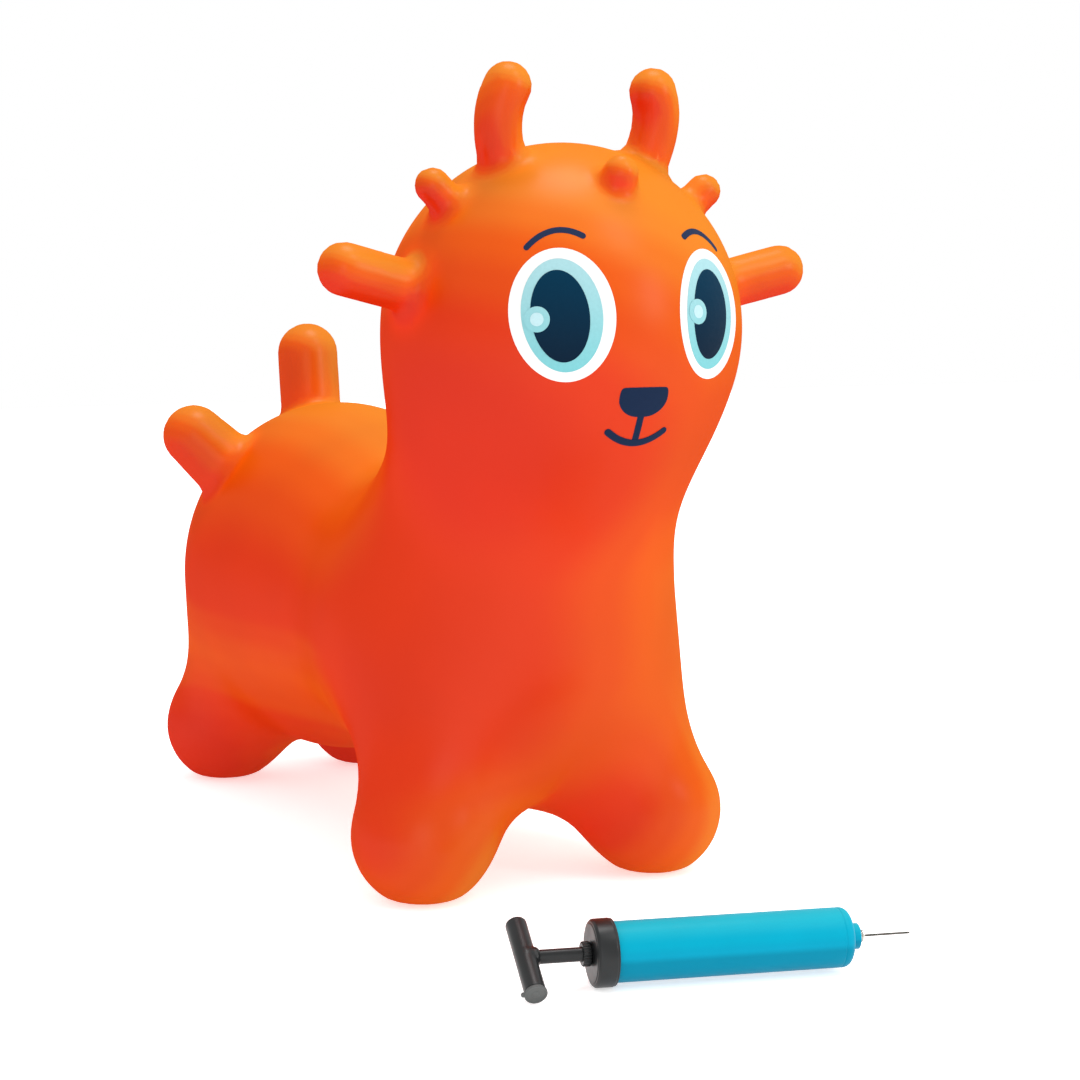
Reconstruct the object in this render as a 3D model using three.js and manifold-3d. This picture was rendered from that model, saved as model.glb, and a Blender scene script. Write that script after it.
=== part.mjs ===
// Inflatable animal hopper with its hand pump.
// Millimetres, +Z up. The animal faces -Y and its left side is +X. The pump lies on the floor in front.

import * as THREE from 'three';
import { mergeVertices } from 'three/addons/utils/BufferGeometryUtils.js';
import Module from 'manifold-3d';

const wasm = await Module();
wasm.setup();

// Skin: one hollow moulding of three swollen volumes that flow into each other
const skinWall = 2;
const headY = -246;
const headZ = 385;
const headRadiusX = 122;
const headRadiusY = 116;
const headRadiusZ = 123;
const chestY = -141;
const chestZ = 171;
const chestRadiusX = 123;
const chestRadiusY = 150;
const chestRadiusZ = 127;
const rumpY = 125;
const rumpZ = 179;
const rumpRadiusX = 122;
const rumpRadiusY = 167;
const rumpRadiusZ = 140;
const neckBlend = 127;
const backBlend = 114;

// Legs: tapered stubs from inside the body to a round foot with a flat sole
const footRadius = 49;
const soleDepth = 5;
const legBlend = 64;
const frontHipX = 53;
const frontHipY = -183;
const frontHipZ = 141;
const frontHipRadius = 33;
const frontFootX = 90;
const frontFootY = -216;
const rearHipX = 49;
const rearHipY = 203;
const rearHipZ = 99;
const rearHipRadius = 33;
const rearFootX = 64;
const rearFootY = 230;

// Growths: a direction from the middle of the head or rump, then how far the round tip's centre stands out.
// Directions are in degrees: round from the front (-Y) towards the left side (+X), and up from level.
const growthBlend = 10;
const growthSink = 1;
const antlerRound = 72;
const antlerUp = 63;
const antlerRadius = 15.6;
const antlerLower = 27;
const antlerUpper = 22;
const antlerLeanOut = 12.5;
const antlerLeanIn = 12.5;
const antlerLeanForward = 11;
const earRound = 85;
const earUp = 13.5;
const earRadius = 17;
const earReach = 47;
const sideNubRound = 82;
const sideNubUp = 42;
const sideNubRadius = 11.5;
const sideNubReach = 16;
const browNubUp = 52;
const browNubRadius = 11.5;
const browNubReach = 7;
const tailUp = 63.5;
const tailRadius = 24.6;
const tailReach = 49;
const tailLeanBack = 7;
const hipNubRound = 108;
const hipNubUp = 44;
const hipNubRootRadius = 27;
const hipNubRadius = 24.4;
const hipNubReach = 33.5;

// Inflation valve: a rubber core in a thickened boss under the belly
const valveY = 0;
const valveStemRadius = 5.5;
const valveStemLength = 15;
const valveFlangeRadius = 9;
const valveFlangeThickness = 1.8;
const valveBossWall = 4;
const valveBossSink = 0.75;
const valveNeedleBore = 0.9;
const valveInset = 0.6;

// Printed face: layers of ink over each other, each a thin shell that follows the head
const inkThickness = 0.2;
const inkPitch = 0.5;
const eyeRound = 28.4;
const eyeUp = 5.7;
const eyeTilt = 7.5;
const eyeToeIn = 1;
const eyeWhiteHalfWidth = 33.4;
const eyeWhiteHalfHeight = 41.8;
const irisHalfWidth = 25.4;
const irisHalfHeight = 35.4;
const irisShift = -1.2;
const irisDrop = 0.4;
const pupilHalfWidth = 18.3;
const pupilHalfHeight = 28.7;
const pupilShift = -2.4;
const pupilDrop = 0.9;
const glintRadius = 8;
const glintShift = -17;
const glintDrop = 1.2;
const glintDotRadius = 4.2;
const browWidth = 3.8;
const browRise = 53.3;
const browOuterReach = 22.3;
const browOuterRise = 42.1;
const browInnerReach = 12.8;
const browInnerRise = 49.6;
const browPeakReach = 2;
const muzzleUp = -26;
const noseHalfWidth = 17.6;
const noseTop = 17.6;
const noseBottom = -2.2;
const noseCorner = 6;
const lineWidth = 4.8;
const mouthHalfWidth = 20.3;
const mouthEndHeight = -13.4;
const mouthMiddleHeight = -20.9;

// Hand pump: axis along +X of its own group, from the cap's outer face at 0 towards the needle
const fitGap = 0.3;
const barrelRadius = 18.2;
const barrelWall = 1.8;
const barrelShown = 148;
const barrelShoulder = 5;
const barrelEndWall = 3;
const barrelRingGap = 6;
const barrelRingWidth = 1.2;
const barrelRingDepth = 0.3;
const nozzleRadius = 7.9;
const nozzleLength = 6.4;
const nozzleDuctRadius = 1.5;
const capRadius = 20.5;
const capLength = 13.4;
const capWall = 3;
const capEdge = 1.5;
const guideRadius = 7.5;
const guideLength = 5.5;
const guideNeckRadius = 6;
const guideRibs = 24;
const guideRibDepth = 0.6;
const rodRadius = 4.3;
const handleOut = 39.5;
const barRadius = 6.5;
const barLength = 59;
const barBoreRadius = 4.7;
const barEndWall = 2;
const socketRootRadius = 6;
const socketRadius = 4.9;
const socketLength = 1.6;
const plugFlangeRadius = 6.9;
const plugFlangeThickness = 1.6;
const plugLength = 7;
const plugTabWidth = 3.2;
const plugTabReach = 2;
const plugTabInset = 0.2;
const pistonThickness = 12;
const pistonFlange = 3;
const pistonGrooveDepth = 4;
const pistonEndGap = 2;
const needleRadius = 0.7;
const needleBoreRadius = 0.35;
const needleShown = 29.5;
const needleSeat = 3;
const hubRadius = 3.75;
const hubLength = 4;
const studRadius = 2.6;
const studLength = 5;

// Where the pump lies: the middle of its shown barrel, and the turn of its axis from +X towards -Y
const pumpX = -5.1;
const pumpY = -469.1;
const pumpTurn = 15;

// Facets
const bodyStep = 28;
const growthSteps = 3.2;
const roundSides = 22;
const smallSides = 16;
const cornerSteps = 3;
const inkSides = 24;
const inkSmallSides = 12;
const inkStep = 14;
const strokeSteps = 12;
const shortEdge = 3;
const weldDistance = 0.02;
const slopeStep = 0.05;
const halvings = 40;
const pulls = 3;
const leastSlope = 1e-9;
const tipShare = 0.2;
const tipGain = 6;

const radians = THREE.MathUtils.degToRad;
const straightBack = 180;
const straightUp = 90;

const material = {
  skin: new THREE.MeshStandardMaterial({ color: 0xee5a24, roughness: 0.55, metalness: 0 }),
  valve: new THREE.MeshStandardMaterial({ color: 0xd9d4c8, roughness: 0.7, metalness: 0 }),
  eyeWhite: new THREE.MeshStandardMaterial({ color: 0xfdf8f9, roughness: 0.5, metalness: 0 }),
  iris: new THREE.MeshStandardMaterial({ color: 0x8ad3d6, roughness: 0.5, metalness: 0 }),
  ink: new THREE.MeshStandardMaterial({ color: 0x20304a, roughness: 0.5, metalness: 0 }),
  glint: new THREE.MeshStandardMaterial({ color: 0xc8e6ea, roughness: 0.5, metalness: 0 }),
  barrel: new THREE.MeshStandardMaterial({ color: 0x10b4d6, roughness: 0.4, metalness: 0 }),
  black: new THREE.MeshStandardMaterial({ color: 0x242527, roughness: 0.45, metalness: 0 }),
  seal: new THREE.MeshStandardMaterial({ color: 0x2c2c2e, roughness: 0.8, metalness: 0 }),
  steel: new THREE.MeshStandardMaterial({ color: 0xb9b7b2, roughness: 0.25, metalness: 1 }),
};

// Triangles with the ends of every edge shorter than least made one, and those that vanish left out
function withoutSlivers(corners, faces, least) {
  const home = Uint32Array.from({ length: corners.length / 3 }, (_, n) => n);
  const find = (n) => {
    while (home[n] !== n) n = home[n];
    return n;
  };
  const point = (n) => new THREE.Vector3().fromArray(corners, 3 * n);
  for (let i = 0; i < faces.length; i++) {
    const a = find(faces[i]);
    const b = find(faces[i % 3 === 2 ? i - 2 : i + 1]);
    if (a !== b && point(a).distanceTo(point(b)) < least) home[Math.max(a, b)] = Math.min(a, b);
  }
  const kept = [];
  for (let i = 0; i < faces.length; i += 3) {
    const [a, b, c] = [find(faces[i]), find(faces[i + 1]), find(faces[i + 2])];
    if (a !== b && b !== c && c !== a) kept.push(a, b, c);
  }
  return kept;
}

function signedVolume(corners, faces) {
  let volume = 0;
  for (let i = 0; i < faces.length; i += 3) {
    const [p, q, r] = [0, 1, 2].map((n) => new THREE.Vector3().fromArray(corners, 3 * faces[i + n]));
    volume += p.dot(q.cross(r)) / 6;
  }
  return volume;
}

// Closed solid from a geometry, with shared corners merged, slivers dropped and faces turned outwards
function solid(geometry) {
  geometry.deleteAttribute('normal');
  geometry.deleteAttribute('uv');
  const merged = mergeVertices(geometry, weldDistance);
  const corners = merged.attributes.position.array;
  const faces = withoutSlivers(corners, merged.index.array, weldDistance);
  if (signedVolume(corners, faces) < 0) faces.reverse();
  return new wasm.Manifold(new wasm.Mesh({
    numProp: 3,
    vertProperties: Float32Array.from(corners),
    triVerts: Uint32Array.from(faces),
  }));
}

function mesh(name, body, look) {
  const { vertProperties, triVerts } = body.getMesh();
  const geometry = new THREE.BufferGeometry();
  geometry.setAttribute('position', new THREE.BufferAttribute(vertProperties, 3));
  geometry.setIndex(withoutSlivers(vertProperties, triVerts, weldDistance));
  geometry.computeVertexNormals();
  const piece = new THREE.Mesh(geometry, look);
  piece.name = name;
  return piece;
}

// Surface of revolution about X from a closed profile of [radius, along] points
function revolved(profile, sides = roundSides) {
  const points = [...profile, profile[0]].map(([radius, along]) => new THREE.Vector2(radius, along));
  return new THREE.LatheGeometry(points, sides).rotateZ(-Math.PI / 2);
}

function turned(profile, sides) {
  return solid(revolved(profile, sides));
}

// Quarter-round corner of a profile, about [radius, along], between two angles in degrees
function corner(radius, along, size, from, to) {
  return Array.from({ length: cornerSteps + 1 }, (_, i) => {
    const angle = radians(from + (to - from) * i / cornerSteps);
    return [radius + size * Math.cos(angle), along + size * Math.sin(angle)];
  });
}

// Distance fields of the soft body

function blend(a, b, reach) {
  const overlap = Math.max(reach - Math.abs(a - b), 0) / reach;
  return Math.min(a, b) - overlap * overlap * reach / 4;
}

function ellipsoid(x, y, z, centre, radii) {
  const dx = (x - centre.x) / radii.x;
  const dy = (y - centre.y) / radii.y;
  const dz = (z - centre.z) / radii.z;
  const near = Math.hypot(dx, dy, dz);
  const slope = Math.hypot(dx / radii.x, dy / radii.y, dz / radii.z) + leastSlope;
  return near * (near - 1) / slope;
}

// Round-ended stub between two balls
function stubDistance(x, y, z, { from, to, fromRadius, toRadius }) {
  const span = to.clone().sub(from);
  const length2 = span.lengthSq();
  const shrink = fromRadius - toRadius;
  const flank2 = length2 - shrink * shrink;
  const px = x - from.x;
  const py = y - from.y;
  const pz = z - from.z;
  const along = px * span.x + py * span.y + pz * span.z;
  const past = along - length2;
  const side2 = (px * length2 - span.x * along) ** 2
    + (py * length2 - span.y * along) ** 2
    + (pz * length2 - span.z * along) ** 2;
  const along2 = along * along * length2;
  const past2 = past * past * length2;
  const turn = Math.sign(shrink) * shrink * shrink * side2;
  if (Math.sign(past) * flank2 * past2 > turn) return Math.sqrt(side2 + past2) / length2 - toRadius;
  if (Math.sign(along) * flank2 * along2 < turn) return Math.sqrt(side2 + along2) / length2 - fromRadius;
  return (Math.sqrt(side2 * flank2 / length2) + along * shrink) / length2 - fromRadius;
}

const headCentre = new THREE.Vector3(0, headY, headZ);
const headRadii = new THREE.Vector3(headRadiusX, headRadiusY, headRadiusZ);
const chestCentre = new THREE.Vector3(0, chestY, chestZ);
const chestRadii = new THREE.Vector3(chestRadiusX, chestRadiusY, chestRadiusZ);
const rumpCentre = new THREE.Vector3(0, rumpY, rumpZ);
const rumpRadii = new THREE.Vector3(rumpRadiusX, rumpRadiusY, rumpRadiusZ);
const footZ = footRadius - soleDepth;

const legs = [
  {
    from: new THREE.Vector3(frontHipX, frontHipY, frontHipZ),
    to: new THREE.Vector3(frontFootX, frontFootY, footZ),
    fromRadius: frontHipRadius,
    toRadius: footRadius,
  },
  {
    from: new THREE.Vector3(rearHipX, rearHipY, rearHipZ),
    to: new THREE.Vector3(rearFootX, rearFootY, footZ),
    fromRadius: rearHipRadius,
    toRadius: footRadius,
  },
];

// Head, chest, rump and legs; the left half is measured and mirrored
function bodyField(x, y, z) {
  const side = Math.abs(x);
  let distance = ellipsoid(side, y, z, headCentre, headRadii);
  distance = blend(distance, ellipsoid(side, y, z, chestCentre, chestRadii), neckBlend);
  distance = blend(distance, ellipsoid(side, y, z, rumpCentre, rumpRadii), backBlend);
  for (const leg of legs) distance = blend(distance, stubDistance(side, y, z, leg), legBlend);
  return distance;
}

function direction(round, up) {
  const level = Math.cos(radians(up));
  return new THREE.Vector3(
    Math.sin(radians(round)) * level,
    -Math.cos(radians(round)) * level,
    Math.sin(radians(up)),
  );
}

// Point on the skin, found by halving along a line from inside the body
function skinPoint(inside, heading) {
  let near = 0;
  let far = 2 * Math.max(headRadiusZ, chestRadiusY, rumpRadiusY);
  for (let i = 0; i < halvings; i++) {
    const middle = (near + far) / 2;
    const point = inside.clone().addScaledVector(heading, middle);
    if (bodyField(point.x, point.y, point.z) < 0) near = middle;
    else far = middle;
  }
  return inside.clone().addScaledVector(heading, near);
}

function stub(from, heading, reach, fromRadius, toRadius) {
  return { from, to: from.clone().addScaledVector(heading, reach), fromRadius, toRadius };
}

function radialGrowth(centre, round, up, reach, rootRadius, tipRadius) {
  const heading = direction(round, up);
  return [stub(skinPoint(centre, heading), heading, reach, rootRadius, tipRadius)];
}

// Antlers bend: the lower half leans out and the upper half leans back in
function antler() {
  const lean = (out) => new THREE.Vector3(
    Math.tan(radians(out)),
    -Math.tan(radians(antlerLeanForward)),
    1,
  ).normalize();
  const root = skinPoint(headCentre, direction(antlerRound, antlerUp));
  const lower = stub(root, lean(antlerLeanOut), antlerLower, antlerRadius, antlerRadius);
  const upper = stub(lower.to, lean(-antlerLeanIn), antlerUpper, antlerRadius, antlerRadius);
  return [lower, upper];
}

function tail() {
  const root = skinPoint(rumpCentre, direction(straightBack, tailUp));
  return [stub(root, direction(straightBack, straightUp - tailLeanBack), tailReach, tailRadius, tailRadius)];
}

const growths = [
  antler(),
  radialGrowth(headCentre, earRound, earUp, earReach, earRadius, earRadius),
  radialGrowth(headCentre, sideNubRound, sideNubUp, sideNubReach, sideNubRadius, sideNubRadius),
  radialGrowth(headCentre, 0, browNubUp, browNubReach, browNubRadius, browNubRadius),
  tail(),
  radialGrowth(rumpCentre, hipNubRound, hipNubUp, hipNubReach, hipNubRootRadius, hipNubRadius),
];

// One growth with the fillet at its root. Away from the root its surface sinks just under the body's.
function growthField(growth, x, y, z) {
  const side = Math.abs(x);
  const nearest = Math.min(...growth.map((piece) => stubDistance(side, y, z, piece)));
  return blend(bodyField(side, y, z) + growthSink, nearest, growthBlend);
}

function slope(field, x, y, z) {
  const step = slopeStep;
  return new THREE.Vector3(
    field(x + step, y, z) - field(x - step, y, z),
    field(x, y + step, z) - field(x, y - step, z),
    field(x, y, z + step) - field(x, y, z - step),
  ).divideScalar(2 * step);
}

// Box round the balls of head, chest, rump and legs, with the right side mirrored
function bodyBox() {
  const box = new THREE.Box3();
  const addBall = (centre, radii) => {
    const mirrored = new THREE.Vector3(-centre.x, centre.y, centre.z);
    for (const middle of [centre, mirrored]) {
      box.expandByPoint(middle.clone().sub(radii));
      box.expandByPoint(middle.clone().add(radii));
    }
  };
  addBall(headCentre, headRadii);
  addBall(chestCentre, chestRadii);
  addBall(rumpCentre, rumpRadii);
  for (const leg of legs) {
    addBall(leg.from, new THREE.Vector3().setScalar(leg.fromRadius));
    addBall(leg.to, new THREE.Vector3().setScalar(leg.toRadius));
  }
  return box;
}

// Grid planes over a box, the same on both sides of its middle and past its ends
function gridPlanes(box, step) {
  const middle = box.getCenter(new THREE.Vector3());
  const half = box.getSize(new THREE.Vector3()).divideScalar(2);
  return ['x', 'y', 'z'].map((axis) => {
    const count = Math.ceil(half[axis] / step) + 2;
    return Array.from({ length: 2 * count + 1 }, (_, i) => middle[axis] + (i - count) * step);
  });
}

// Skin of a field over a grid: one point in each cell that the surface crosses, pulled onto the surface,
// and one four-sided face across each grid edge that it crosses
function netted(field, axes) {
  const [nx, ny, nz] = axes.map((list) => list.length);
  const stride = [1, nx, nx * ny];
  const value = new Float64Array(nx * ny * nz);
  const at = (i, j, k) => i + j * stride[1] + k * stride[2];
  for (let k = 0; k < nz; k++) {
    for (let j = 0; j < ny; j++) {
      for (let i = 0; i < nx; i++) value[at(i, j, k)] = field(axes[0][i], axes[1][j], axes[2][k]);
    }
  }
  const corners = [];
  const cornerOfCell = new Int32Array(value.length).fill(-1);
  for (let k = 0; k + 1 < nz; k++) {
    for (let j = 0; j + 1 < ny; j++) {
      for (let i = 0; i + 1 < nx; i++) {
        const point = cellPoint(field, axes, value, stride, [i, j, k]);
        if (!point) continue;
        cornerOfCell[at(i, j, k)] = corners.length / 3;
        corners.push(point.x, point.y, point.z);
      }
    }
  }
  const faces = [];
  for (let k = 1; k + 1 < nz; k++) {
    for (let j = 1; j + 1 < ny; j++) {
      for (let i = 1; i + 1 < nx; i++) {
        const node = at(i, j, k);
        for (let axis = 0; axis < 3; axis++) {
          const next = node + stride[axis];
          if (value[node] < 0 === value[next] < 0) continue;
          const u = stride[(axis + 1) % 3];
          const v = stride[(axis + 2) % 3];
          const ring = [node, node - u, node - u - v, node - v].map((cell) => cornerOfCell[cell]);
          if (value[node] >= 0) ring.reverse();
          faces.push(...splitQuad(ring, corners));
        }
      }
    }
  }
  const geometry = new THREE.BufferGeometry();
  geometry.setAttribute('position', new THREE.Float32BufferAttribute(corners, 3));
  geometry.setIndex(withoutSlivers(corners, faces, shortEdge));
  return geometry;
}

// The same net moved inwards by a depth, so that both leave an even wall between them
function inset(geometry, field, depth) {
  const inner = geometry.clone();
  const position = inner.attributes.position;
  for (let i = 0; i < position.count; i++) {
    const point = new THREE.Vector3().fromBufferAttribute(position, i);
    const way = slope(field, point.x, point.y, point.z).normalize();
    position.setXYZ(i, ...point.addScaledVector(way, -depth));
  }
  return inner;
}

// Mean of the crossings on a cell's twelve edges, moved onto the surface
function cellPoint(field, axes, value, stride, cell) {
  const node = cell[0] + cell[1] * stride[1] + cell[2] * stride[2];
  const mean = new THREE.Vector3();
  let crossings = 0;
  for (let axis = 0; axis < 3; axis++) {
    const second = (axis + 1) % 3;
    const third = (axis + 2) % 3;
    for (let b = 0; b < 2; b++) {
      for (let c = 0; c < 2; c++) {
        const start = node + b * stride[second] + c * stride[third];
        const low = value[start];
        const high = value[start + stride[axis]];
        if (low < 0 === high < 0) continue;
        const low1 = axes[axis][cell[axis]];
        const high1 = axes[axis][cell[axis] + 1];
        const crossing = new THREE.Vector3();
        crossing.setComponent(axis, low1 + (high1 - low1) * low / (low - high));
        crossing.setComponent(second, axes[second][cell[second] + b]);
        crossing.setComponent(third, axes[third][cell[third] + c]);
        mean.add(crossing);
        crossings++;
      }
    }
  }
  if (crossings === 0) return null;
  mean.divideScalar(crossings);
  for (let i = 0; i < pulls; i++) {
    const way = slope(field, mean.x, mean.y, mean.z);
    mean.addScaledVector(way, -field(mean.x, mean.y, mean.z) / way.lengthSq());
  }
  return mean;
}

// Two triangles across the shorter diagonal
function splitQuad([a, b, c, d], corners) {
  const point = (n) => new THREE.Vector3().fromArray(corners, 3 * n);
  if (point(a).distanceTo(point(c)) < point(b).distanceTo(point(d))) return [a, b, c, a, c, d];
  return [a, b, d, b, c, d];
}

// Everything below a height, as one block
function blockBelow(height, box) {
  const size = box.getSize(new THREE.Vector3());
  const depth = size.z;
  const block = new THREE.BoxGeometry(2 * size.x, 2 * size.y, depth);
  const middle = box.getCenter(new THREE.Vector3());
  block.translate(middle.x, middle.y, height - depth / 2);
  return solid(block);
}

// Upright cylinder between two heights on the belly's valve axis
function valveCylinder(radius, low, high) {
  const cylinder = new THREE.CylinderGeometry(radius, radius, high - low, smallSides);
  cylinder.rotateX(Math.PI / 2);
  cylinder.translate(0, valveY, (low + high) / 2);
  return solid(cylinder);
}

const bellyZ = skinPoint(new THREE.Vector3(0, valveY, (chestZ + rumpZ) / 2), new THREE.Vector3(0, 0, -1)).z;
const valveSeatZ = bellyZ + valveInset + valveFlangeThickness + fitGap;

// A growth inside a ball round its root, on the left side (1) or the right (-1)
function growthSolid(growth, side) {
  const root = growth[0].from;
  const tip = growth.at(-1);
  const ball = new THREE.Sphere(
    new THREE.Vector3(side * root.x, root.y, root.z),
    tip.to.distanceTo(root) + tip.toRadius + growthSink,
  );
  const field = (x, y, z) => Math.max(
    growthField(growth, x, y, z),
    ball.distanceToPoint(new THREE.Vector3(x, y, z)),
  );
  const step = 2 * tip.toRadius / growthSteps;
  return solid(netted(field, gridPlanes(ball.getBoundingBox(new THREE.Box3()), step)));
}

function skin() {
  const box = bodyBox();
  const net = netted(bodyField, gridPlanes(box, bodyStep));
  const hollow = solid(inset(net, bodyField, skinWall)).subtract(blockBelow(skinWall, box));
  let outer = solid(net);
  for (const growth of growths) {
    outer = outer.add(growthSolid(growth, 1));
    if (growth[0].from.x > skinWall) outer = outer.add(growthSolid(growth, -1));
  }
  outer = outer.subtract(blockBelow(0, box));
  const bossTop = valveSeatZ + valveStemLength;
  const bossStart = bellyZ + skinWall * valveBossSink;
  const boss = valveCylinder(valveFlangeRadius + fitGap + valveBossWall, bossStart, bossTop);
  const mouth = valveCylinder(valveFlangeRadius + fitGap, bellyZ - skinWall, valveSeatZ);
  const bore = valveCylinder(valveStemRadius + fitGap, bellyZ - skinWall, bossTop + skinWall);
  return outer.subtract(hollow).add(boss).subtract(mouth).subtract(bore);
}

// Flanged rubber core, open along its middle for the needle
function valveCore() {
  const low = bellyZ + valveInset;
  const step = low + valveFlangeThickness;
  const high = valveSeatZ + valveStemLength;
  const core = revolved([
    [valveNeedleBore, low],
    [valveFlangeRadius, low],
    [valveFlangeRadius, step],
    [valveStemRadius, step],
    [valveStemRadius, high],
    [valveNeedleBore, high],
  ], smallSides);
  return solid(core.rotateY(-Math.PI / 2).translate(0, valveY, 0));
}

// Printed face

// A spot on the head with the print's right and up directions, seen from in front
function printPlace(round, up) {
  const out = direction(round, up);
  const right = new THREE.Vector3(Math.cos(radians(round)), Math.sin(radians(round)), 0);
  return { out, right, above: out.clone().cross(right) };
}

// Print position to a point that stands off the skin by lift
function printPoint({ out, right, above }, across, rise, lift) {
  const start = headCentre.clone().addScaledVector(right, across).addScaledVector(above, rise);
  const point = skinPoint(start, out);
  const way = slope(bodyField, point.x, point.y, point.z).normalize();
  return point.addScaledVector(way, lift);
}

function inkLift(layer) {
  const under = fitGap + layer * inkPitch;
  return [under, under + inkThickness];
}

// Closed shell from rows of points: each face takes four neighbours of a wrapped grid, with a cap at each end
function wrapped(rows, lowEnd, highEnd) {
  const points = [...rows.flat(), lowEnd, highEnd];
  const count = rows[0].length;
  const faces = [];
  for (let row = 0; row < rows.length; row++) {
    for (let i = 0; i < count; i++) {
      const next = (i + 1) % count;
      const here = row * count;
      if (row === 0) faces.push(rows.length * count, here + next, here + i);
      if (row + 1 === rows.length) faces.push(rows.length * count + 1, here + i, here + next);
      else faces.push(here + i, here + next, here + count + i, here + next, here + count + next, here + count + i);
    }
  }
  const geometry = new THREE.BufferGeometry().setFromPoints(points);
  geometry.setIndex(faces);
  return solid(geometry);
}

// Patch inside an outline: rings from the middle out along the underside, then back in along the top
function patch(place, outline, layer) {
  const [low, high] = inkLift(layer);
  const middle = outline.reduce((sum, point) => sum.add(point), new THREE.Vector2()).divideScalar(outline.length);
  const ring = (share, lift) => outline.map((point) => {
    const inner = middle.clone().lerp(point, share);
    return printPoint(place, inner.x, inner.y, lift);
  });
  const rings = Math.ceil(Math.max(...outline.map((point) => point.distanceTo(middle))) / inkStep);
  const shares = Array.from({ length: rings }, (_, i) => (i + 1) / rings);
  const rows = [...shares.map((share) => ring(share, low)), ...shares.toReversed().map((share) => ring(share, high))];
  const centre = (lift) => printPoint(place, middle.x, middle.y, lift);
  return wrapped(rows, centre(low), centre(high));
}

function ellipse(across, rise, halfWidth, halfHeight, sides = inkSides) {
  const curve = new THREE.EllipseCurve(across, rise, halfWidth, halfHeight, 0, 2 * Math.PI);
  return curve.getPoints(sides).slice(0, sides);
}

// Brush stroke along a curve, narrowed to a rounded tip at both ends
function stroke(place, curve, width, layer) {
  const [low, high] = inkLift(layer);
  const rows = [];
  for (let i = 0; i <= strokeSteps; i++) {
    const share = i / strokeSteps;
    const middle = curve.getPoint(share);
    const tangent = curve.getTangent(share);
    const taper = Math.sqrt(Math.min(1, tipShare + tipGain * Math.min(share, 1 - share)));
    const half = new THREE.Vector2(-tangent.y, tangent.x).multiplyScalar(taper * width / 2);
    const left = middle.clone().add(half);
    const right = middle.clone().sub(half);
    rows.push([[left, low], [right, low], [right, high], [left, high]].map(
      ([point, lift]) => printPoint(place, point.x, point.y, lift),
    ));
  }
  const end = (row) => row.reduce((sum, point) => sum.add(point), new THREE.Vector3()).divideScalar(row.length);
  return wrapped(rows, end(rows[0]), end(rows.at(-1)));
}

function threePointCurve(start, peak, end) {
  return new THREE.CatmullRomCurve3([start, peak, end].map(([across, rise]) => new THREE.Vector3(across, rise, 0)));
}

// Eyes lean outwards and look the same way: both have their glint on the same hand
function eye(side, name) {
  const place = printPlace(side * eyeRound, eyeUp);
  const leaning = (outline) => outline.map(
    (point) => point.rotateAround(new THREE.Vector2(), -side * radians(eyeTilt)),
  );
  const inward = -side * eyeToeIn;
  const white = leaning(ellipse(0, 0, eyeWhiteHalfWidth, eyeWhiteHalfHeight));
  const iris = leaning(ellipse(irisShift + inward, -irisDrop, irisHalfWidth, irisHalfHeight));
  const pupil = leaning(ellipse(pupilShift + inward, -pupilDrop, pupilHalfWidth, pupilHalfHeight));
  const ring = (radius) => leaning(ellipse(glintShift + inward, -glintDrop, radius, radius, inkSmallSides));
  const glint = ring(glintRadius);
  const dot = ring(glintDotRadius);
  const brow = threePointCurve(
    [side * browOuterReach, browOuterRise],
    [side * browPeakReach, browRise],
    [-side * browInnerReach, browInnerRise],
  );
  return [
    mesh(`eye_white_${name}`, patch(place, white, 0), material.eyeWhite),
    mesh(`eye_iris_${name}`, patch(place, iris, 1), material.iris),
    mesh(`eye_pupil_${name}`, patch(place, pupil, 2), material.ink),
    mesh(`eye_glint_${name}`, patch(place, glint, 3), material.iris),
    mesh(`eye_dot_${name}`, patch(place, dot, 4), material.glint),
    mesh(`brow_${name}`, stroke(place, brow, browWidth, 0), material.ink),
  ];
}

// Nose: level top with round corners, drawn in to a round bottom
function noseOutline() {
  const shape = new THREE.Shape();
  shape.moveTo(-noseHalfWidth + noseCorner, noseTop);
  shape.lineTo(noseHalfWidth - noseCorner, noseTop);
  shape.quadraticCurveTo(noseHalfWidth, noseTop, noseHalfWidth, noseTop - noseCorner);
  shape.quadraticCurveTo(noseHalfWidth - noseCorner / 2, noseBottom, 0, noseBottom);
  shape.quadraticCurveTo(-noseHalfWidth + noseCorner / 2, noseBottom, -noseHalfWidth, noseTop - noseCorner);
  shape.quadraticCurveTo(-noseHalfWidth, noseTop, -noseHalfWidth + noseCorner, noseTop);
  return shape.getSpacedPoints(inkSides).slice(0, inkSides);
}

function muzzle() {
  const place = printPlace(0, muzzleUp);
  const lipTop = noseBottom - fitGap;
  const lipBottom = mouthMiddleHeight + lineWidth / 2 + fitGap;
  const lip = new THREE.LineCurve(new THREE.Vector2(0, lipTop), new THREE.Vector2(0, lipBottom));
  const mouth = threePointCurve(
    [-mouthHalfWidth, mouthEndHeight],
    [0, mouthMiddleHeight],
    [mouthHalfWidth, mouthEndHeight],
  );
  return [
    mesh('nose', patch(place, noseOutline(), 0), material.ink),
    mesh('lip_line', stroke(place, lip, lineWidth, 0), material.ink),
    mesh('mouth', stroke(place, mouth, lineWidth, 0), material.ink),
  ];
}

// Hand pump

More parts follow.
